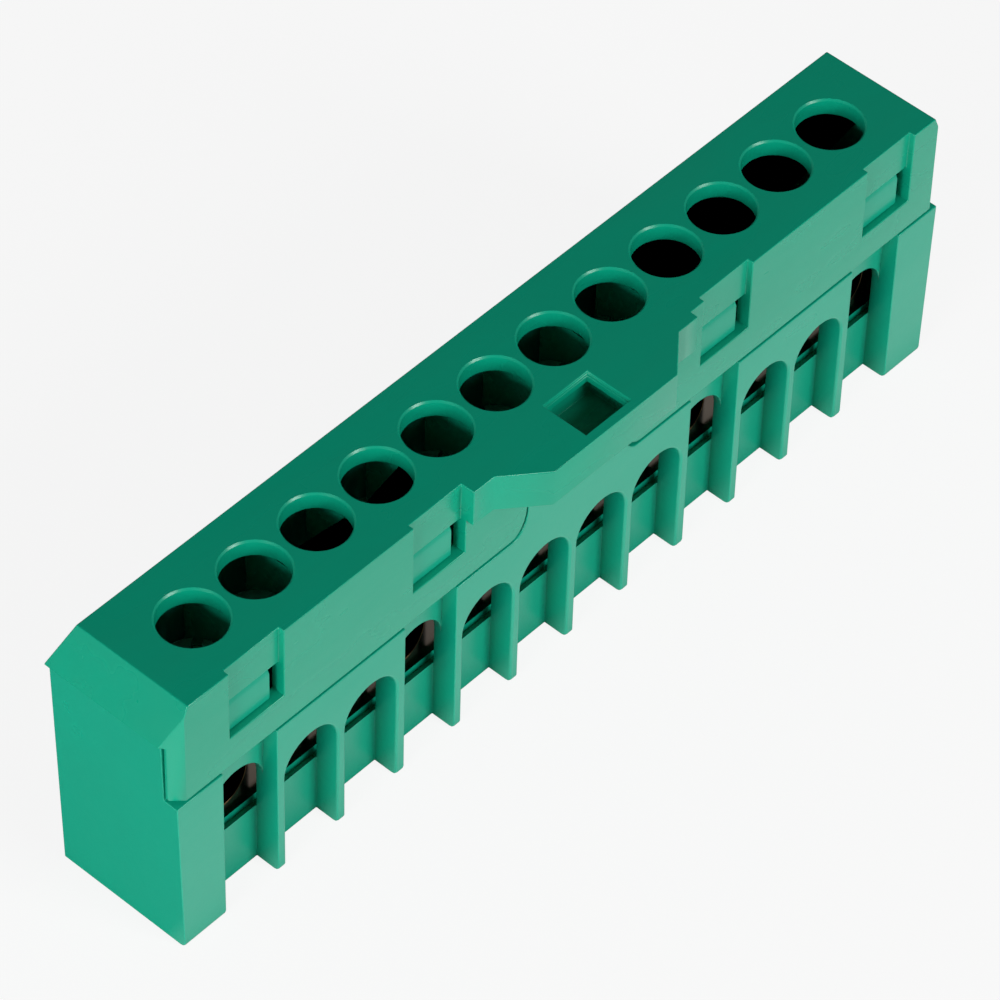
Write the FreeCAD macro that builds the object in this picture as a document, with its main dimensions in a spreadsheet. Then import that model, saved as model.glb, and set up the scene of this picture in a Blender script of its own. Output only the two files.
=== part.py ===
import FreeCAD, Part
import math
import os
import re
import Sketcher

# Insulated earth terminal bar: a two piece green moulded housing, a brass bar with
# cross holes for the wires, and one slotted clamp screw above each hole.
# Origin: middle of the footprint on the underside. X runs along the row, the wires
# enter from the front, which faces -Y, and +Z is up. Sizes are in millimetres.

doc = FreeCAD.newDocument("earth_bar")
sizes = doc.addObject("Spreadsheet::Sheet", "Sizes")

# Driving dimensions
# Y sizes are measured from the line of the screw holes, Z sizes from the underside.
driving = [
    ("pitch", "6.5"),
    ("ways", "12"),
    ("height", "27"),
    ("front", "5.7"),
    ("end_low", "7.25"),
    ("end_taper", "0.5"),
    ("wall_back", "7.15"),
    ("wall", "1.4"),
    ("end_wall", "2.85"),
    ("lip_over", "0.3"),
    ("lip_over_back", "0.25"),
    ("lid_lean", "1.8"),
    ("slope_drop", "4.3"),
    ("shell", "1.1"),
    ("plate", "1.6"),
    ("lid_gap", "0.1"),
    ("groove_high", "16.75"),
    ("groove_gap", "0.3"),
    ("side_fit", "0.1"),
    ("skirt", "1.3"),
    ("skirt_short", "0.2"),
    ("corner_cut", "0.9"),
    ("fin_depth", "2.3"),
    ("sill_high", "6.1"),
    ("sill_slope", "0.7"),
    ("sill_lip", "0.3"),
    ("arch_gap", "0.22"),
    ("arch_high", "10.3"),
    ("arch_web", "0.5"),
    ("rib_half", "0.5"),
    ("bar_play", "0.15"),
    ("bar_inset", "0.8"),
    ("bar_back", "3"),
    ("bar_tall", "9"),
    ("wire_r", "2.6"),
    ("divider_back", "3.9"),
    ("divider", "0.7"),
    ("guide_gap", "0.2"),
    ("guide_round", "0.15"),
    ("lug_thick", "3.7"),
    ("lug_out", "3.65"),
    ("lug_nose", "6.95"),
    ("lug_neck", "10.4"),
    ("lug_band", "12.6"),
    ("band_proud", "0.75"),
    ("square_x", "2.35"),
    ("square_y", "4.1"),
    ("square_skin", "0.95"),
    ("square_rim", "0.15"),
    ("square_plate", "1"),
    ("square_floor", "0.8"),
    ("square_side", "0.9"),
    ("square_end", "0.4"),
    ("notch_half", "5.5"),
    ("notch_flare", "1.6"),
    ("notch_rise", "2.6"),
    ("notch_fit", "0.15"),
    ("latch_half", "2.3"),
    ("latch_shift", "0.4"),
    ("latch_thick", "0.8"),
    ("latch_lead", "0.5"),
    ("window_half", "2.85"),
    ("window_shift", "0.8"),
    ("window_rise", "3.05"),
    ("window_tall", "3.4"),
    ("window_lip", "0.55"),
    ("latch_slack", "0.2"),
    ("thread_r", "1.75"),
    ("thread_fit", "0.05"),
    ("shank", "7"),
    ("head_r", "2.6"),
    ("head_tall", "2.2"),
    ("slot_half", "0.4"),
    ("slot_deep", "1.1"),
    ("edge_break", "0.25"),
    ("fin_round", "0.25"),
    ("foot_round", "0.5"),
]

# Dimensions worked out from the driving ones
derived = [
    ("row_length", "=(ways - 1) * pitch"),
    ("first_x", "=-row_length / 2"),
    ("base_half_low", "=row_length / 2 + end_low"),
    ("base_half_high", "=base_half_low + end_taper"),
    ("lip_half", "=base_half_high + lip_over"),
    ("top_half", "=lip_half - lid_lean"),
    ("skirt_half", "=base_half_high - skirt_short"),
    ("chamber_half", "=base_half_low - end_wall"),
    ("bar_half", "=chamber_half - bar_play"),
    ("lip_back", "=wall_back + lip_over_back"),
    ("top_back", "=lip_back - lid_lean"),
    ("lug_reach", "=front + lug_out"),
    ("row_y", "=(lug_reach - lip_back) / 2"),
    ("square_front", "=lug_reach - square_skin"),
    ("square_back", "=square_front - square_y"),
    ("lip_high", "=height - slope_drop"),
    ("shoulder", "=lip_high - lid_gap"),
    ("groove_low", "=groove_high - groove_gap"),
    ("sill_wall", "=front - fin_depth"),
    ("skirt_back", "=front - skirt"),
    ("bar_front", "=sill_wall - bar_inset"),
    ("bar_low", "=sill_high"),
    ("bar_high", "=bar_low + bar_tall"),
    ("arch_r", "=wire_r + arch_gap"),
    ("guide_r", "=head_r + guide_gap"),
    ("window_low", "=groove_high + window_rise"),
    ("window_high", "=window_low + window_tall"),
    ("latch_back", "=sill_wall"),
    ("latch_top", "=window_high - side_fit"),
    ("nose_reach", "=front - window_lip"),
    ("tap_r", "=thread_r + thread_fit"),
    ("screw_tip", "=arch_high + wire_r"),
]

for row, (alias, entry) in enumerate(driving + derived, start=1):
    sizes.set("A%d" % row, alias)
    sizes.set("B%d" % row, entry)
    sizes.setAlias("B%d" % row, alias)
doc.recompute()

LATCH_BAYS = (1, 4, 9, 12)


def named(text):
    """Sizes in the sheet are written with a leading dot in the formulas below."""
    return re.sub(r"\.(?=[a-z])", "Sizes.", text)


def bay_x(bay):
    """Formula for the X of one bay, counted from the left."""
    return ".first_x + %d * .pitch" % (bay - 1)


def new_body(name):
    body = doc.addObject("PartDesign::Body", name)
    body.Label = name
    body.setExpression("Placement.Base.y", "Sizes.row_y")
    return body


def origin_item(body, role):
    for item in body.Origin.OriginFeatures:
        if item.Role == role:
            return item
    raise ValueError(role)


def new_sketch(body, name, role, lift=None):
    """Sketch on one of the body's own planes, moved along its normal by a formula."""
    sketch = body.newObject("Sketcher::SketchObject", name)
    sketch.AttachmentSupport = [(origin_item(body, role), "")]
    sketch.MapMode = "FlatFace"
    if lift:
        sketch.setExpression("AttachmentOffset.Base.z", named(lift))
    return sketch


def pin_down(sketch, geo, pos, kind, formula, start):
    """Fix one coordinate of a point by a formula, or put it on the axis for zero."""
    if formula == "0":
        axis = -2 if kind == "DistanceX" else -1
        sketch.addConstraint(Sketcher.Constraint("PointOnObject", geo, pos, axis))
        return
    index = sketch.addConstraint(Sketcher.Constraint(kind, geo, pos, start))
    sketch.setExpression("Constraints[%d]" % index, named(formula))


def outline(sketch, corners):
    """Closed polygon whose corners are pairs of formulas."""
    count = len(corners)
    first = sketch.GeometryCount
    ring = []
    for i in range(count):
        turn = 2 * math.pi * i / count
        ring.append(FreeCAD.Vector(11 * math.cos(turn) + 17, 11 * math.sin(turn) + 19, 0))
    for i in range(count):
        sketch.addGeometry(Part.LineSegment(ring[i], ring[(i + 1) % count]), False)
    for i in range(count):
        after = first + (i + 1) % count
        sketch.addConstraint(Sketcher.Constraint("Coincident", first + i, 2, after, 1))
    for i, (across, up) in enumerate(corners):
        pin_down(sketch, first + i, 1, "DistanceX", across, ring[i].x)
        pin_down(sketch, first + i, 1, "DistanceY", up, ring[i].y)


def box_outline(sketch, low_x, high_x, low_y, high_y):
    outline(sketch, [(low_x, low_y), (high_x, low_y), (high_x, high_y), (low_x, high_y)])


def ring_outline(sketch, centre_x, centre_y, radius):
    circle = Part.Circle(FreeCAD.Vector(7, 5, 0), FreeCAD.Vector(0, 0, 1), 2)
    geo = sketch.addGeometry(circle, False)
    pin_down(sketch, geo, 3, "DistanceX", centre_x, 7)
    pin_down(sketch, geo, 3, "DistanceY", centre_y, 5)
    index = sketch.addConstraint(Sketcher.Constraint("Radius", geo, 2))
    sketch.setExpression("Constraints[%d]" % index, named(radius))


def grow(body, sketch, name, length, back=False):
    """Pad along the sketch normal, or against it."""
    pad = body.newObject("PartDesign::Pad", name)
    pad.Profile = sketch
    pad.setExpression("Length", named(length))
    pad.Reversed = back
    sketch.Visibility = False
    doc.recompute()
    return pad


def cut(body, sketch, name, depth, back=False):
    """Pocket against the sketch normal, or along it. It has to remove material."""
    before = body.Shape.Volume
    pocket = body.newObject("PartDesign::Pocket", name)
    pocket.Profile = sketch
    pocket.setExpression("Length", named(depth))
    pocket.Reversed = back
    sketch.Visibility = False
    doc.recompute()
    if body.Shape.Volume >= before - 0.001:
        raise ValueError("%s removes nothing" % name)
    return pocket


def repeat(body, features, name, length, count):
    """Copies of features in a row along X, count being a formula."""
    pattern = body.newObject("PartDesign::LinearPattern", name)
    pattern.Originals = features
    pattern.Direction = (origin_item(body, "X_Axis"), [""])
    pattern.setExpression("Length", named(length))
    pattern.setExpression("Occurrences", named(count))
    body.Tip = pattern
    doc.recompute()
    return pattern


def edges_where(shape, keep):
    """Names of the edges for which keep gives true, for rounding."""
    return ["Edge%d" % (i + 1) for i, edge in enumerate(shape.Edges) if keep(edge)]


def soften(body, kind, name, size, keep):
    """Round or bevel every edge that keep picks out."""
    last = body.Tip
    picked = edges_where(last.Shape, keep)
    if not picked:
        raise ValueError("%s finds no edges" % name)
    feature = body.newObject("PartDesign::" + kind, name)
    feature.Base = (last, picked)
    field = "Radius" if kind == "Fillet" else "Size"
    feature.setExpression(field, named(size))
    body.Tip = feature
    doc.recompute()
    return feature


# Housing base: lower moulding with end walls, back wall, front fins and the bar seat
base = new_body("housing_base")

sketch = new_sketch(base, "block_outline", "XZ_Plane", ".front")
outline(sketch, [
    ("-.base_half_low", "0"),
    (".base_half_low", "0"),
    (".base_half_high", ".shoulder"),
    ("-.base_half_high", ".shoulder"),
])
grow(base, sketch, "block", ".front + .wall_back", back=True)

sketch = new_sketch(base, "chamber_outline", "XY_Plane", ".shoulder")
box_outline(sketch, "-.chamber_half", ".chamber_half", "-.sill_wall", ".wall_back - .wall")
cut(base, sketch, "chamber", ".shoulder - .sill_high")

# Step for the cover's skirt. The wall stays up in the middle, under the lug, and flares
# at its foot in a quarter of an oval.
FLARE_STEPS = 6


def flare(side, half, width, low):
    """Corners along the flared side of the middle wall, from its foot upwards."""
    corners = []
    for step in range(FLARE_STEPS + 1):
        turn = math.pi / 2 * step / FLARE_STEPS
        across = "%s(%s + %.4f * (%s))" % (side, half, 1 - math.sin(turn), width)
        up = "%s + %.4f * .notch_rise" % (low, 1 - math.cos(turn))
        corners.append((across, up))
    return corners


sketch = new_sketch(base, "skirt_step_outline", "XZ_Plane", ".front")
for side in ("-", ""):
    outline(
        sketch,
        [(side + "(.base_half_high + 1)", ".groove_low")]
        + flare(side, ".notch_half", ".notch_flare", ".groove_low")
        + [
            (side + ".notch_half", ".shoulder + 1"),
            (side + "(.base_half_high + 1)", ".shoulder + 1"),
        ],
    )
cut(base, sketch, "skirt_step", ".skirt + .side_fit")

sketch = new_sketch(base, "cover_room_outline", "XY_Plane", ".shoulder")
box_outline(
    sketch,
    "-.chamber_half",
    ".chamber_half",
    "-(.skirt_back + .side_fit)",
    "-(.sill_wall - .side_fit)",
)
cut(base, sketch, "cover_room", ".shoulder - .groove_low")

# Wire slots in the front: straight sides below, a round arch on top
sketch = new_sketch(base, "wire_slot_outline", "XZ_Plane", ".front")
box_outline(sketch, ".first_x - .arch_r", ".first_x + .arch_r", "0", ".arch_high")
slot = cut(base, sketch, "wire_slot", ".fin_depth")
sketch = new_sketch(base, "wire_arch_outline", "XZ_Plane", ".front")
ring_outline(sketch, ".first_x", ".arch_high", ".arch_r")
arch = cut(base, sketch, "wire_arch", ".fin_depth")
repeat(base, [slot, arch], "wire_slots", ".row_length", ".ways")

# The wall is thinner above the arches of the bays that carry a latch
sketch = new_sketch(base, "latch_recess_outline", "XZ_Plane", ".front")
for bay in LATCH_BAYS:
    middle = bay_x(bay)
    box_outline(sketch, middle + " - .arch_r", middle + " + .arch_r", ".arch_high", ".groove_low")
cut(base, sketch, "latch_recess", ".fin_depth - .latch_thick")

# Latch strips: thin springy strips that rise behind the skirt
sketch = new_sketch(base, "latch_outline", "XZ_Plane", ".latch_back + .latch_thick")
for bay in LATCH_BAYS:
    middle = bay_x(bay) + " + .latch_shift"
    box_outline(
        sketch,
        middle + " - .latch_half",
        middle + " + .latch_half",
        ".arch_high + .arch_r + .arch_web",
        ".latch_top",
    )
grow(base, sketch, "latches", ".latch_thick", back=True)

# Each strip ends in a nose that catches the sill of a window in the skirt
for bay in LATCH_BAYS:
    side = bay_x(bay) + " + .latch_shift - .latch_half"
    sketch = new_sketch(base, "nose_outline_%d" % bay, "YZ_Plane", side)
    outline(sketch, [
        ("-(.latch_back + 0.2)", ".window_low + .side_fit"),
        ("-(.latch_back + 0.2)", ".latch_top"),
        ("-(.nose_reach - .latch_lead / 2)", ".latch_top"),
        ("-.nose_reach", ".latch_top - .latch_lead"),
        ("-.nose_reach", ".window_low + .side_fit"),
    ])
    grow(base, sketch, "nose_%d" % bay, "2 * .latch_half")

# Ribs behind the bar keep it in line and leave a pocket for each wire end
sketch = new_sketch(base, "rib_outline", "XY_Plane", ".sill_high")
box_outline(
    sketch,
    ".first_x + .pitch / 2 - .rib_half",
    ".first_x + .pitch / 2 + .rib_half",
    ".bar_back + .side_fit",
    ".wall_back - .wall / 2",
)
rib = grow(base, sketch, "rib", ".bar_tall - .side_fit")
repeat(base, [rib], "ribs", ".row_length - .pitch", ".ways - 1")

# The top of the sill slopes down towards the bar
sketch = new_sketch(base, "sill_slope_outline", "YZ_Plane", ".chamber_half")
outline(sketch, [
    ("-.sill_wall", ".sill_high"),
    ("-.sill_wall", ".sill_high + .sill_lip"),
    ("-.bar_front", ".sill_high + .sill_lip"),
    ("-.bar_front", ".sill_high - .sill_slope"),
])
cut(base, sketch, "sill_slope", "2 * .chamber_half")

# The fins and the end walls are rounded off at the foot of their front edge
FOOT_STEPS = 3
foot = [
    ("-(.front - .foot_round)", "-.foot_round"),
    ("-(.front + .foot_round)", "-.foot_round"),
    ("-(.front + .foot_round)", ".foot_round"),
]
for step in range(FOOT_STEPS + 1):
    turn = math.pi / 2 * step / FOOT_STEPS
    foot.append((
        "-(.front - %.4f * .foot_round)" % (1 - math.cos(turn)),
        "%.4f * .foot_round" % (1 - math.sin(turn)),
    ))
sketch = new_sketch(base, "foot_outline", "YZ_Plane", ".base_half_high")
outline(sketch, foot)
cut(base, sketch, "fin_feet", "2 * .base_half_high")

front_y = -float(sizes.front)
end_x = float(sizes.base_half_low) - 1
arch_top = float(sizes.arch_high) + float(sizes.arch_r) + 0.01


def fin_edge(edge):
    """Upright front edges of the wire slots, straight and round."""
    box = edge.BoundBox
    in_front = abs(box.YMax - front_y) < 0.001 and abs(box.YMin - front_y) < 0.001
    inside = box.XMax < end_x and box.XMin > -end_x
    upright = box.ZLength > 1 and box.ZMax < arch_top
    return in_front and inside and upright


soften(base, "Fillet", "fin_fronts", ".fin_round", fin_edge)

# Housing cover: snap-on upper moulding with lid, skirt, dividers and lug
cover = new_body("housing_cover")

sketch = new_sketch(cover, "lid_outline", "XZ_Plane", ".front")
outline(sketch, [
    ("-.lip_half", ".lip_high"),
    (".lip_half", ".lip_high"),
    (".top_half", ".height"),
    ("-.top_half", ".height"),
])
grow(cover, sketch, "lid", ".front + .lip_back", back=True)

sketch = new_sketch(cover, "back_slope_outline", "YZ_Plane", ".lip_half + 1")
outline(sketch, [
    (".top_back", ".height"),
    (".lip_back", ".lip_high"),
    (".lip_back + 2", ".lip_high"),
    (".lip_back + 2", ".height + 1"),
    (".top_back", ".height + 1"),
])
cut(cover, sketch, "back_slope", "2 * .lip_half + 2")

# Narrow upright bevel on the two front corners
sketch = new_sketch(cover, "corner_outline", "XY_Plane", ".height")
for side in ("-", ""):
    outline(sketch, [
        (side + "(.skirt_half - .corner_cut - 1)", "-(.front + 1)"),
        (side + "(.skirt_half - .corner_cut)", "-.front"),
        (side + "(.skirt_half + 1)", "-(.front - .corner_cut - 1)"),
        (side + "(.skirt_half + 3)", "-(.front + 1)"),
    ])
cut(cover, sketch, "corner_bevel", ".slope_drop")

# Hollow under the lid
sketch = new_sketch(cover, "hollow_outline", "XY_Plane", ".lip_high")
box_outline(
    sketch,
    "-(.top_half - .shell / 2)",
    ".top_half - .shell / 2",
    "-.skirt_back",
    ".top_back - .shell / 2",
)
cut(cover, sketch, "hollow", ".slope_drop - .plate", back=True)

# Skirt: front wall of the cover, down to the parting groove
sketch = new_sketch(cover, "skirt_outline", "XY_Plane", ".lip_high")
outline(sketch, [
    ("-.skirt_half", "-.skirt_back"),
    ("-.skirt_half", "-(.front - .corner_cut)"),
    ("-(.skirt_half - .corner_cut)", "-.front"),
    (".skirt_half - .corner_cut", "-.front"),
    (".skirt_half", "-(.front - .corner_cut)"),
    (".skirt_half", "-.skirt_back"),
])
grow(cover, sketch, "skirt_wall", ".lip_high - .groove_high", back=True)

# Lug: thick nose over the middle of the front, with a square socket that is wider inside
sketch = new_sketch(cover, "lug_outline", "XY_Plane", ".height")
outline(sketch, [
    ("-.lug_band", "-(.front - 0.5)"),
    ("-.lug_band", "-(.front + .band_proud)"),
    ("-.lug_neck", "-(.front + .band_proud)"),
    ("-.lug_nose", "-.lug_reach"),
    (".lug_nose", "-.lug_reach"),
    (".lug_neck", "-(.front + .band_proud)"),
    (".lug_band", "-(.front + .band_proud)"),
    (".lug_band", "-(.front - 0.5)"),
])
grow(cover, sketch, "lug", ".lug_thick", back=True)
sketch = new_sketch(cover, "square_wall_outline", "XY_Plane", ".lip_high")
box_outline(
    sketch,
    "-(.square_x + .square_side + .skirt / 2)",
    ".square_x + .square_side + .skirt / 2",
    "-(.skirt_back + .skirt / 4)",
    "-(.latch_back - .latch_slack)",
)
grow(cover, sketch, "square_wall", ".slope_drop - .plate")
sketch = new_sketch(cover, "square_outline", "XY_Plane", ".height")
box_outline(sketch, "-.square_x", ".square_x", "-.square_front", "-.square_back")
cut(cover, sketch, "square_hole", ".square_plate")
sketch = new_sketch(cover, "square_room_outline", "XY_Plane", ".height - .square_plate")
box_outline(
    sketch,
    "-(.square_x + .square_side)",
    ".square_x + .square_side",
    "-(.square_front + .square_end)",
    "-(.square_back - .square_end)",
)
cut(cover, sketch, "square_room", ".lug_thick - .square_plate - .square_floor")
sketch = new_sketch(cover, "square_rim_outline", "XY_Plane", ".height")
box_outline(
    sketch,
    "-(.square_x + .square_rim)",
    ".square_x + .square_rim",
    "-(.square_front + .square_rim)",
    "-(.square_back - .square_rim)",
)
cut(cover, sketch, "square_rim_step", "2 * .square_rim")

# Notch for the part of the base wall that rises under the lug
sketch = new_sketch(cover, "notch_outline", "XZ_Plane", ".front")
notch_side = (".notch_half + .notch_fit", ".notch_flare + .notch_fit", ".groove_high")
left_side = flare("-", *notch_side)
right_side = flare("", *notch_side)
outline(
    sketch,
    [("-(.notch_half + .notch_flare + 1)", ".groove_high - 1")]
    + left_side
    + [
        ("-(.notch_half + .notch_fit)", ".lip_high"),
        (".notch_half + .notch_fit", ".lip_high"),
    ]
    + right_side[::-1]
    + [(".notch_half + .notch_flare + 1", ".groove_high - 1")],
)
cut(cover, sketch, "notch", ".skirt")

# Dividers hang from the lid between the screws and hold the bar down on its seat
sketch = new_sketch(cover, "divider_outline", "XY_Plane", ".height - .plate")
box_outline(
    sketch,
    ".first_x - .pitch / 2 - .divider / 2",
    ".first_x - .pitch / 2 + .divider / 2",
    "-(.latch_back - .latch_slack)",
    ".divider_back",
)
divider = grow(cover, sketch, "divider", ".height - .plate - .bar_high", back=True)
repeat(cover, [divider], "dividers", ".row_length + .pitch", ".ways + 1")

# Windows in the skirt, in which the latch noses catch, each in a shallow recess that
# runs up to the lid
for name, top, depth in (
    ("window_face", ".height", ".window_lip"),
    ("window_gap", ".window_high", ".skirt"),
):
    sketch = new_sketch(cover, name + "_outline", "XZ_Plane", ".front")
    for bay in LATCH_BAYS:
        middle = bay_x(bay) + " + .window_shift"
        box_outline(
            sketch,
            middle + " - .window_half",
            middle + " + .window_half",
            ".window_low",
            top,
        )
    cut(cover, sketch, name, depth)

# Round holes in the lid, through which a screwdriver reaches the screws
sketch = new_sketch(cover, "guide_hole_outline", "XY_Plane", ".height")
ring_outline(sketch, ".first_x", "0", ".guide_r")
hole = cut(cover, sketch, "guide_hole", ".plate")
repeat(cover, [hole], "guide_holes", ".row_length", ".ways")

lid_z = float(sizes.height)
rim_r = float(sizes.guide_r)


def rim_edge(edge):
    """Upper rims of the round holes in the lid."""
    box = edge.BoundBox
    level = abs(box.ZMin - lid_z) < 0.001 and abs(box.ZMax - lid_z) < 0.001
    return level and edge.Curve.TypeId == "Part::GeomCircle" and abs(edge.Curve.Radius - rim_r) < 0.001


soften(cover, "Chamfer", "guide_rims", ".guide_round", rim_edge)

# Brass bar with a cross hole for each wire and a tapped hole above it
bar = new_body("busbar")
sketch = new_sketch(bar, "bar_outline", "XZ_Plane", ".bar_front")
box_outline(sketch, "-.bar_half", ".bar_half", ".bar_low", ".bar_high")
grow(bar, sketch, "bar_stock", ".bar_front + .bar_back", back=True)
sketch = new_sketch(bar, "wire_hole_outline", "XZ_Plane", ".bar_front")
ring_outline(sketch, ".first_x", ".arch_high", ".wire_r")
hole = cut(bar, sketch, "wire_hole", ".bar_front + .bar_back")
repeat(bar, [hole], "wire_holes", ".row_length", ".ways")
sketch = new_sketch(bar, "tapped_outline", "XY_Plane", ".bar_high")
ring_outline(sketch, ".first_x", "0", ".tap_r")
hole = cut(bar, sketch, "tapped_hole", ".bar_high - .arch_high")
repeat(bar, [hole], "tapped_holes", ".row_length", ".ways")

# Clamp screws, shown undone. Their slots stand at different angles.
SLOT_TURN = 37


def clamp_screw(number):
    """One cheese head screw, standing on its tip above its wire hole."""
    name = "clamp_screw_%02d" % number
    body = new_body(name)
    body.setExpression("Placement.Base.x", named(bay_x(number)))
    body.setExpression("Placement.Base.z", "Sizes.screw_tip")
    outer = new_sketch(body, name + "_shank_outline", "XY_Plane")
    ring_outline(outer, "0", "0", ".thread_r")
    grow(body, outer, name + "_shank", ".shank")
    outer = new_sketch(body, name + "_head_outline", "XY_Plane", ".shank")
    ring_outline(outer, "0", "0", ".head_r")
    grow(body, outer, name + "_head", ".head_tall")
    tip_r = float(sizes.thread_r)
    head_r = float(sizes.head_r)
    head_z = float(sizes.shank) + float(sizes.head_tall)

    def end_edge(edge):
        if edge.Curve.TypeId != "Part::GeomCircle":
            return False
        middle = edge.BoundBox.Center
        radius = edge.Curve.Radius
        at_tip = abs(radius - tip_r) < 0.001 and abs(middle.z) < 0.001
        at_top = abs(radius - head_r) < 0.001 and abs(middle.z - head_z) < 0.001
        return at_tip or at_top

    soften(body, "Chamfer", name + "_edges", ".edge_break", end_edge)
    outer = new_sketch(body, name + "_slot_outline", "XY_Plane", ".shank + .head_tall")
    box_outline(outer, "-(.head_r + 1)", ".head_r + 1", "-.slot_half", ".slot_half")
    cut(body, outer, name + "_slot", ".slot_deep")
    turn = (number * number * SLOT_TURN) % 180
    body.Placement = FreeCAD.Placement(
        FreeCAD.Vector(float(sizes.first_x) + (number - 1) * float(sizes.pitch),
                       float(sizes.row_y), float(sizes.screw_tip)),
        FreeCAD.Rotation(FreeCAD.Vector(0, 0, 1), turn))
    return body


screws = [clamp_screw(number) for number in range(1, int(sizes.ways) + 1)]

doc.recompute()

for item in doc.Objects:
    for word in ("Invalid", "Error"):
        if word in item.State:
            raise ValueError("%s is %s" % (item.Label, word))

os.makedirs("parts", exist_ok=True)
for body in [base, cover, bar] + screws:
    shape = body.Shape
    if shape.isNull() or not shape.isValid() or len(shape.Solids) != 1:
        raise ValueError("%s has a bad shape" % body.Label)
    shape.exportStep("parts/%s.step" % body.Label)
    box = shape.BoundBox
    print(body.Label, round(shape.Volume, 3), [round(v, 3) for v in (
        box.XMin, box.XMax, box.YMin, box.YMax, box.ZMin, box.ZMax)])
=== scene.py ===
import math

import bmesh
import bpy
from mathutils import Matrix, Vector


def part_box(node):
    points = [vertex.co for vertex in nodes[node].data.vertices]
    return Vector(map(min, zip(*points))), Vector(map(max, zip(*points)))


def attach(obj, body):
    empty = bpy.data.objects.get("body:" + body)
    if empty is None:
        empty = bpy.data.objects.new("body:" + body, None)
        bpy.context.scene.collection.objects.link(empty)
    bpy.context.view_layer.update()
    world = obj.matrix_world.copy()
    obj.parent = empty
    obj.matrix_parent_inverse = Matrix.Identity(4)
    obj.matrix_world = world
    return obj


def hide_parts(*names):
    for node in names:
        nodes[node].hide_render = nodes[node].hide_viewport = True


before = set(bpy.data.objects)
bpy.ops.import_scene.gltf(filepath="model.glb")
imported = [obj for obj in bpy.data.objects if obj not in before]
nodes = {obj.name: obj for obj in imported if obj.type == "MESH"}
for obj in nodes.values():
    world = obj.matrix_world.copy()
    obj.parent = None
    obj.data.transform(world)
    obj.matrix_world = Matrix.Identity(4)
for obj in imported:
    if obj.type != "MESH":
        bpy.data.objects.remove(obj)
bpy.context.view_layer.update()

# Housing base
# The lower half of the housing, moulded in one piece in green nylon with a satin skin.
# It stands on its flat underside and carries everything else.


class Signal:
    """A socket that plain arithmetic is written on. Each step adds one Math node."""

    def __init__(self, finish, socket):
        self.finish = finish
        self.socket = socket

    def maths(self, operation, first, second):
        return self.finish.node("Math", {"operation": operation}, {0: first, 1: second})

    def __add__(self, other):
        return self.maths("ADD", self, other)

    def __radd__(self, other):
        return self.maths("ADD", other, self)

    def __sub__(self, other):
        return self.maths("SUBTRACT", self, other)

    def __rsub__(self, other):
        return self.maths("SUBTRACT", other, self)

    def __mul__(self, other):
        return self.maths("MULTIPLY", self, other)

    def __rmul__(self, other):
        return self.maths("MULTIPLY", other, self)

    def __pow__(self, other):
        return self.maths("POWER", self, other)


class Finish:
    """The nodes of a material or a world, built one by one around its shader."""

    def __init__(self, owner, shader="Principled BSDF"):
        owner.use_nodes = True
        self.owner = owner
        self.tree = owner.node_tree
        self.shader = self.tree.nodes[shader]

    def node(self, kind, settings, inputs, output=0):
        """Adds a node: settings first, then the values or links of its sockets."""
        made = self.tree.nodes.new("ShaderNode" + kind)
        for key, value in settings.items():
            setattr(made, key, value)
        for key, value in inputs.items():
            self.feed(made.inputs[key], value)
        return Signal(self, made.outputs[output])

    def feed(self, socket, value):
        if isinstance(value, Signal):
            self.tree.links.new(value.socket, socket)
        else:
            socket.default_value = value

    def surface(self, **inputs):
        """Sets sockets of the main shader, named with _ for a space."""
        for key, value in inputs.items():
            self.feed(self.shader.inputs[key.replace("_", " ")], value)

    def blend(self, share, other, output):
        """Sends the main shader, mixed with another by a share, to the output node."""
        own = Signal(self, self.shader.outputs[0])
        mixed = self.node("MixShader", {}, {0: share, 1: own, 2: other})
        self.feed(self.tree.nodes[output].inputs["Surface"], mixed)


def moulded_nylon(name, colour, shade, roughness, flow_depth):
    """Injection moulded nylon: cloudy colour, faint flow lines and a fine spark-eroded grain."""
    skin = Finish(bpy.data.materials.new(name))
    place = skin.node("TexCoord", {}, {}, "Object")
    cloud = skin.node("TexNoise", {}, {"Vector": place, "Scale": 90.0, "Detail": 3.0})
    along = skin.node("Mapping", {}, {"Vector": place, "Scale": (0.25, 1.0, 1.0)})
    flow = skin.node("TexNoise", {}, {"Vector": along, "Scale": 260.0, "Detail": 2.0})
    grain = skin.node("TexNoise", {}, {"Vector": place, "Scale": 5200.0, "Detail": 2.0})
    speck = skin.node("TexVoronoi", {}, {"Vector": place, "Scale": 900.0})
    tint = skin.node(
        "Mix",
        {"data_type": "RGBA"},
        {0: cloud * 0.7 + flow * 0.3, 6: colour, 7: shade},
        2,
    )
    skin.surface(
        Base_Color=tint,
        Roughness=roughness + 0.16 * (flow - 0.5) + 0.1 * (cloud - 0.5),
        Coat_Weight=0.05,
        Coat_Roughness=0.25,
    )
    height = flow_depth * flow + 0.05 * grain + 0.04 * speck
    relief = skin.node("Bump", {}, {"Strength": 0.35, "Distance": 0.0003, "Height": height})
    skin.surface(Normal=relief)
    return skin.owner


same_point = 1e-6
flat_within = math.radians(0.5)
crease_above = math.radians(35)
eased_above = math.radians(46)
housing_rounding = 0.00009
bar_rounding = 0.00008


def baked(piece):
    """Applies a piece's modifiers to its mesh."""
    graph = bpy.context.evaluated_depsgraph_get()
    mesh = bpy.data.meshes.new_from_object(piece.evaluated_get(graph))
    piece.modifiers.clear()
    piece.data = mesh
    return mesh


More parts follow.
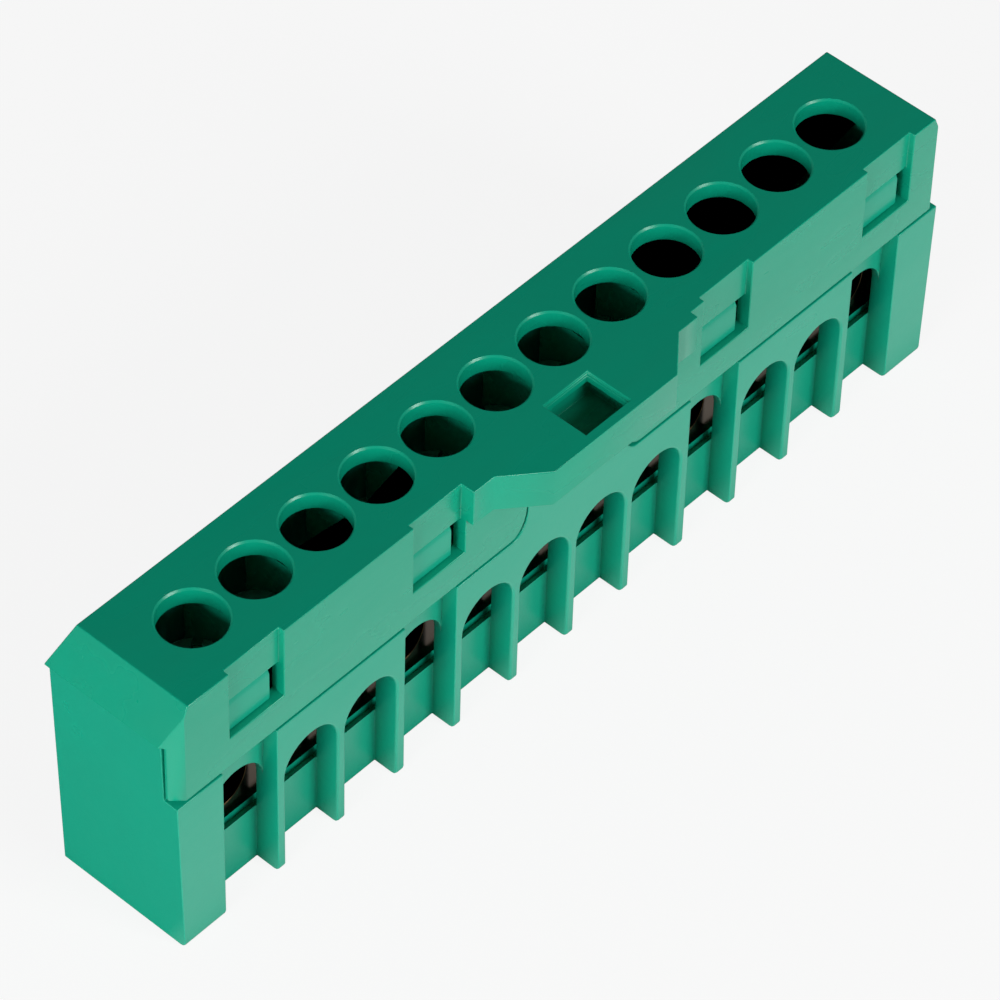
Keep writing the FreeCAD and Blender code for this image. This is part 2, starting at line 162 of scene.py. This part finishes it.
def eased_copy(node, name, rounding, material):
    """Stands for a CAD node: the same form with its facets joined and its edges eased."""
    form = bmesh.new()
    form.from_mesh(nodes[node].data)
    bmesh.ops.remove_doubles(form, verts=form.verts, dist=same_point)
    bmesh.ops.dissolve_limit(
        form, angle_limit=flat_within, verts=form.verts, edges=form.edges
    )
    mesh = bpy.data.meshes.new(name)
    form.to_mesh(mesh)
    form.free()
    mesh.materials.clear()
    mesh.materials.append(material)
    piece = bpy.data.objects.new(name, mesh)
    bpy.context.scene.collection.objects.link(piece)
    ease = piece.modifiers.new("eased edges", "BEVEL")
    ease.width = rounding
    ease.segments = 2
    ease.limit_method = "ANGLE"
    ease.angle_limit = eased_above
    ease.use_clamp_overlap = False
    eased = baked(piece)
    eased.shade_smooth()
    eased.set_sharp_from_angle(angle=crease_above)
    flat = piece.modifiers.new("flat faces", "WEIGHTED_NORMAL")
    flat.keep_sharp = True
    baked(piece).name = name
    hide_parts(node)
    return piece


base_green = moulded_nylon(
    "satin green nylon",
    colour=(0.003, 0.385, 0.24, 1),
    shade=(0.002, 0.345, 0.215, 1),
    roughness=0.32,
    flow_depth=0.25,
)
base = eased_copy("housing_base", "moulded_base", housing_rounding, base_green)
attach(base, "housing")

# Housing cover
# The snap-on upper half with the lid, the dividers and the lug, moulded in the same nylon
# in a more polished tool. Its skirt is held by four latches of the base.

cover_green = moulded_nylon(
    "gloss green nylon",
    colour=(0.002, 0.365, 0.22, 1),
    shade=(0.001, 0.325, 0.195, 1),
    roughness=0.28,
    flow_depth=0.4,
)
cover = eased_copy("housing_cover", "moulded_cover", housing_rounding, cover_green)
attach(cover, "housing")

# Terminal bar
# Extruded brass, cut to length, with drilled wire holes and tapped screw holes. It lies
# on the seat of the base, and the cover's dividers hold it down.


def drawn_brass():
    """Drawn brass in uneven patches, its colour painted near black for the shade inside the
    housing, with long faint die lines.
    """
    metal = Finish(bpy.data.materials.new("drawn brass"))
    place = metal.node("TexCoord", {}, {}, "Object")
    along = metal.node("Mapping", {}, {"Vector": place, "Scale": (0.02, 1.0, 1.0)})
    lines = metal.node("TexNoise", {}, {"Vector": along, "Scale": 4200.0, "Detail": 3.0})
    uneven_patches = metal.node("TexNoise", {}, {"Vector": place, "Scale": 130.0, "Detail": 4.0})
    # Painted shade: both tones are near black and stand for the shade inside the housing, not
    # the brass's own colour.
    tint = metal.node(
        "Mix",
        {"data_type": "RGBA"},
        {0: uneven_patches ** 1.5, 6: (0.05, 0.031, 0.013, 1), 7: (0.025, 0.016, 0.008, 1)},
        2,
    )
    metal.surface(
        Base_Color=tint,
        Metallic=1.0,
        Roughness=0.1 + 0.08 * lines + 0.1 * uneven_patches,
    )
    scoring = metal.node("Bump", {}, {"Strength": 0.05, "Distance": 0.00005, "Height": lines})
    metal.surface(Normal=scoring)
    return metal.owner


bar = eased_copy("busbar", "drawn_bar", bar_rounding, drawn_brass())
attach(bar, "housing")

# Clamp screws
# Cheese head machine screws in zinc plated steel with a straight driver slot. Each runs in
# its own thread in the bar and bears on the wire below it.


def plated_steel():
    """Zinc plate with turning marks and a faint warm passivation."""
    metal = Finish(bpy.data.materials.new("zinc plated steel"))
    place = metal.node("TexCoord", {}, {}, "Object")
    marks = metal.node("TexNoise", {}, {"Vector": place, "Scale": 2600.0, "Detail": 2.0})
    film = metal.node("TexNoise", {}, {"Vector": place, "Scale": 420.0, "Detail": 3.0})
    tint = metal.node(
        "Mix",
        {"data_type": "RGBA"},
        {0: film, 6: (0.66, 0.66, 0.64, 1), 7: (0.5, 0.48, 0.42, 1)},
        2,
    )
    metal.surface(Base_Color=tint, Metallic=1.0, Roughness=0.24 + 0.2 * film + 0.08 * marks)
    turning = metal.node("Bump", {}, {"Strength": 0.2, "Distance": 0.00005, "Height": marks})
    metal.surface(Normal=turning)
    return metal.owner


class Recipe:
    """A Geometry Nodes tree built step by step, with named inputs for its sizes."""

    def __init__(self, name):
        self.tree = bpy.data.node_groups.new(name, "GeometryNodeTree")
        self.face = self.tree.interface
        self.face.new_socket("Geometry", in_out="OUTPUT", socket_type="NodeSocketGeometry")
        self.sockets = {}

    def size(self, name, kind="Float", start=0.0):
        made = self.face.new_socket(name, in_out="INPUT", socket_type="NodeSocket" + kind)
        if kind in ("Float", "Vector"):
            made.default_value = start
        self.sockets[name] = made.identifier

    def begin(self):
        self.entry = self.tree.nodes.new("NodeGroupInput")

    def given(self, name):
        return next(s for s in self.entry.outputs if s.identifier == self.sockets[name])

    def step(self, kind, inputs, output=0, **settings):
        made = self.tree.nodes.new(kind)
        for key, value in settings.items():
            setattr(made, key, value)
        for key, value in inputs.items():
            several = value if isinstance(value, list) else [value]
            for one in several:
                if isinstance(one, bpy.types.NodeSocket):
                    self.tree.links.new(one, made.inputs[key])
                else:
                    made.inputs[key].default_value = one
        return made.outputs[output]

    def maths(self, operation, first, second):
        return self.step("ShaderNodeMath", {0: first, 1: second}, operation=operation)

    def vector(self, x=0.0, y=0.0, z=0.0):
        return self.step("ShaderNodeCombineXYZ", {0: x, 1: y, 2: z})

    def moved(self, geometry, place, turn=(0.0, 0.0, 0.0)):
        return self.step(
            "GeometryNodeTransform",
            {"Geometry": geometry, "Translation": place, "Rotation": turn},
        )

    def end(self, geometry, material):
        real = self.step("GeometryNodeRealizeInstances", {0: geometry})
        painted = self.step("GeometryNodeSetMaterial", {"Geometry": real, "Material": material})
        self.tree.links.new(painted, self.tree.nodes.new("NodeGroupOutput").inputs[0])
        return self.tree


def screw_recipe():
    """A slotted screw: threaded stem swept along a helix, and a bevelled head."""
    plan = Recipe("slotted screw")
    for name in ("Stem Radius", "Thread Depth", "Thread Pitch", "Stem Length"):
        plan.size(name)
    for name in ("Head Radius", "Head Height", "Rim Bevel", "Slot Width", "Slot Depth"):
        plan.size(name)
    plan.size("Tip", "Vector", (0.0, 0.0, 0.0))
    plan.size("Slot Turn")
    plan.size("Material", "Material")
    plan.begin()
    given = plan.given

    core_r = plan.maths("SUBTRACT", given("Stem Radius"), given("Thread Depth"))
    half_stem = plan.maths("MULTIPLY", given("Stem Length"), 0.5)
    core = plan.step(
        "GeometryNodeMeshCylinder",
        {"Vertices": 40, "Radius": core_r, "Depth": given("Stem Length")},
    )
    core = plan.moved(core, plan.vector(z=half_stem))

    turns = plan.maths("DIVIDE", given("Stem Length"), given("Thread Pitch"))
    turns = plan.maths("SUBTRACT", turns, 1.6)
    run = plan.maths("MULTIPLY", turns, given("Thread Pitch"))
    helix = plan.step(
        "GeometryNodeCurveSpiral",
        {
            "Resolution": 36,
            "Rotations": turns,
            "Start Radius": core_r,
            "End Radius": core_r,
            "Height": run,
        },
    )
    helix = plan.step("GeometryNodeSetCurveNormal", {"Curve": helix}, mode="Z_UP")
    ridge = plan.step(
        "GeometryNodeCurvePrimitiveCircle",
        {"Resolution": 4, "Radius": given("Thread Depth")},
    )
    thread = plan.step(
        "GeometryNodeCurveToMesh",
        {"Curve": helix, "Profile Curve": ridge, "Fill Caps": True},
    )
    lead_in = plan.maths("MULTIPLY", given("Thread Pitch"), 0.7)
    thread = plan.moved(thread, plan.vector(z=lead_in))

    drum_h = plan.maths("SUBTRACT", given("Head Height"), given("Rim Bevel"))
    drum = plan.step(
        "GeometryNodeMeshCylinder",
        {"Vertices": 56, "Radius": given("Head Radius"), "Depth": drum_h},
    )
    drum_z = plan.maths("ADD", given("Stem Length"), plan.maths("MULTIPLY", drum_h, 0.5))
    drum = plan.moved(drum, plan.vector(z=drum_z))
    crown = plan.step(
        "GeometryNodeMeshCone",
        {
            "Vertices": 56,
            "Radius Top": plan.maths("SUBTRACT", given("Head Radius"), given("Rim Bevel")),
            "Radius Bottom": given("Head Radius"),
            "Depth": given("Rim Bevel"),
        },
    )
    crown = plan.moved(crown, plan.vector(z=plan.maths("ADD", given("Stem Length"), drum_h)))
    top_z = plan.maths("ADD", given("Stem Length"), given("Head Height"))
    blade = plan.step(
        "GeometryNodeMeshCube",
        {
            "Size": plan.vector(
                plan.maths("MULTIPLY", given("Head Radius"), 3.0),
                given("Slot Width"),
                plan.maths("MULTIPLY", given("Slot Depth"), 2.0),
            )
        },
    )
    blade = plan.moved(blade, plan.vector(z=top_z))
    head = plan.step("GeometryNodeJoinGeometry", {"Geometry": [drum, crown]})
    head = plan.step(
        "GeometryNodeMergeByDistance",
        {"Geometry": head, "Distance": 0.000002},
    )
    head = plan.step(
        "GeometryNodeMeshBoolean",
        {"Mesh 1": head, "Mesh 2": blade},
        operation="DIFFERENCE",
    )
    whole = plan.step("GeometryNodeJoinGeometry", {"Geometry": [core, thread, head]})
    whole = plan.moved(whole, given("Tip"), plan.vector(z=given("Slot Turn")))
    return plan, plan.end(whole, given("Material"))


screw_plan, screw_tree = screw_recipe()
screw_steel = plated_steel()
screw_names = sorted(name for name in nodes if name.startswith("clamp_screw_"))
stem_radius = 0.00175
stem_length = 0.007
slot_step = 37

for number, node in enumerate(screw_names, start=1):
    low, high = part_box(node)
    sizes = {
        "Stem Radius": stem_radius,
        "Thread Depth": 0.00028,
        "Thread Pitch": 0.0007,
        "Stem Length": stem_length,
        "Head Radius": (high.x - low.x) / 2,
        "Head Height": high.z - low.z - stem_length,
        "Rim Bevel": 0.00025,
        "Slot Width": 0.0008,
        "Slot Depth": 0.0011,
        "Tip": Vector(((low.x + high.x) / 2, (low.y + high.y) / 2, low.z)),
        "Slot Turn": math.radians(number * number * slot_step % 180),
        "Material": screw_steel,
    }
    blank = bpy.data.objects.new("slotted_screw_%02d" % number, bpy.data.meshes.new("blank"))
    bpy.context.scene.collection.objects.link(blank)
    maker = blank.modifiers.new("screw", "NODES")
    maker.node_group = screw_tree
    for name, value in sizes.items():
        maker[screw_plan.sockets[name]] = value
    mesh = baked(blank)
    mesh.shade_smooth()
    mesh.set_sharp_from_angle(angle=crease_above)
    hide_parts(node)
    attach(blank, "screw_%02d" % number)

# Studio
# A white sweep under the object, soft lamps in front and at the left, and a dim ceiling.
# Glossy surfaces see the sweep by painted reflection: it glows bright in front of the object and
# dark behind it.
# The camera stands where the photograph was taken.

sweep_mesh = bpy.data.meshes.new("floor")
reach = 3.0
sweep_mesh.from_pydata(
    [(-reach, -reach, 0), (reach, -reach, 0), (reach, reach, 0), (-reach, reach, 0)],
    [],
    [(0, 1, 2, 3)],
)
floor = bpy.data.objects.new("floor", sweep_mesh)
bpy.context.scene.collection.objects.link(floor)
paper = Finish(bpy.data.materials.new("white paper"))
seen = paper.node("LightPath", {}, {}, "Is Camera Ray")
glossy = paper.node("LightPath", {}, {}, "Is Glossy Ray")
through = paper.node("LightPath", {}, {}, "Is Transmission Ray")
spot = paper.node("TexCoord", {}, {}, "Object")
depth = paper.node("SeparateXYZ", {}, {0: spot}, 1)
nearness = paper.node(
    "MapRange",
    {},
    {"Value": depth, "From Min": -0.045, "From Max": -0.01, "To Min": 0.3, "To Max": 0.9},
)
in_front = paper.node(
    "MapRange",
    {},
    {
        "Value": depth,
        "From Min": -0.0065,
        "From Max": -0.0025,
        "To Min": 0.95,
        "To Max": 0.05,
    },
)
# Painted reflection: glossy rays see the paper's own colour near black.
paper_dark_in_reflections = paper.node(
    "Mix",
    {"data_type": "RGBA"},
    {0: glossy, 6: (0.8, 0.8, 0.8, 1), 7: (0.02, 0.02, 0.02, 1)},
    2,
)
paper.surface(Base_Color=paper_dark_in_reflections, Roughness=0.9)
white = paper.node("Emission", {}, {"Color": (1, 1, 1, 1), "Strength": 1.0})
brightness = 0.88
# Painted reflection: glossy and transmission rays see the sweep glow, brightest just in front of
# the object and dark behind it.
mirrored = in_front * nearness * (glossy + through)
paper.blend(brightness * seen + mirrored, white, "Material Output")
sweep_mesh.materials.append(paper.owner)

world = bpy.data.worlds.new("studio")
bpy.context.scene.world = world
sky = Finish(world, "Background")
seen = sky.node("LightPath", {}, {}, "Is Camera Ray")
direction = sky.node("TexCoord", {}, {}, "Generated")
rise = sky.node("SeparateXYZ", {}, {0: direction}, 2)
lift = sky.node("MapRange", {}, {"Value": rise})
glossy = sky.node("LightPath", {}, {}, "Is Glossy Ray")
glow = 0.03 + 0.65 * (1.0 - lift) ** 2.0
# Painted reflection: glossy rays see the sky at 15% of its strength, so its reflections are
# darker than the light it gives.
sky.surface(Color=(0.95, 0.98, 1.0, 1), Strength=glow * (1.0 - 0.85 * glossy))
white = sky.node("Background", {}, {"Color": (1, 1, 1, 1), "Strength": 1.0})
sky.blend(seen, white, "World Output")

screw_low, screw_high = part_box(screw_names[0])
row_y = screw_low.y + (screw_high.y - screw_low.y) / 2
top_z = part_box("housing_cover")[1].z
aim = Vector((0.0, row_y, top_z))


def add_lamp(name, azimuth, elevation, distance, width, power):
    """A square soft lamp that looks at the object. Azimuth 0 is in front, 90 at the right."""
    light = bpy.data.lights.new(name, "AREA")
    light.size = width
    light.energy = power
    lamp = bpy.data.objects.new(name, light)
    bpy.context.scene.collection.objects.link(lamp)
    turn, lift = math.radians(azimuth), math.radians(elevation)
    back = Vector((
        math.cos(lift) * math.sin(turn),
        -math.cos(lift) * math.cos(turn),
        math.sin(lift),
    ))
    lamp.location = aim + back * distance
    lamp.rotation_euler = back.to_track_quat("Z", "Y").to_euler()


add_lamp("front lamp", azimuth=8, elevation=27, distance=0.6, width=0.25, power=2.2)
add_lamp("left lamp", azimuth=-80, elevation=12, distance=0.6, width=0.25, power=2.5)

view_azimuth = -0.851646
view_elevation = 0.828433
view_roll = 0.030941
view_distance = 0.430688
view_right = -0.001856
view_up = -0.010545
view_pixels = 5693.35
frame_pixels = 1000.0

toward = Vector((
    math.cos(view_elevation) * math.sin(view_azimuth),
    -math.cos(view_elevation) * math.cos(view_azimuth),
    math.sin(view_elevation),
))
level = Vector((math.cos(view_azimuth), math.sin(view_azimuth), 0.0))
upright = toward.cross(level)
across = math.cos(view_roll) * level + math.sin(view_roll) * upright
upward = math.cos(view_roll) * upright - math.sin(view_roll) * level

lens = bpy.data.cameras.new("camera")
lens.sensor_width = 36.0
lens.lens = lens.sensor_width * view_pixels / frame_pixels
camera = bpy.data.objects.new("camera", lens)
bpy.context.scene.collection.objects.link(camera)
place = aim + toward * view_distance + across * view_right + upward * view_up
facing = Matrix((across, upward, toward)).transposed().to_4x4()
camera.matrix_world = Matrix.Translation(place) @ facing
bpy.context.scene.camera = camera

bpy.context.scene.view_settings.view_transform = "Standard"
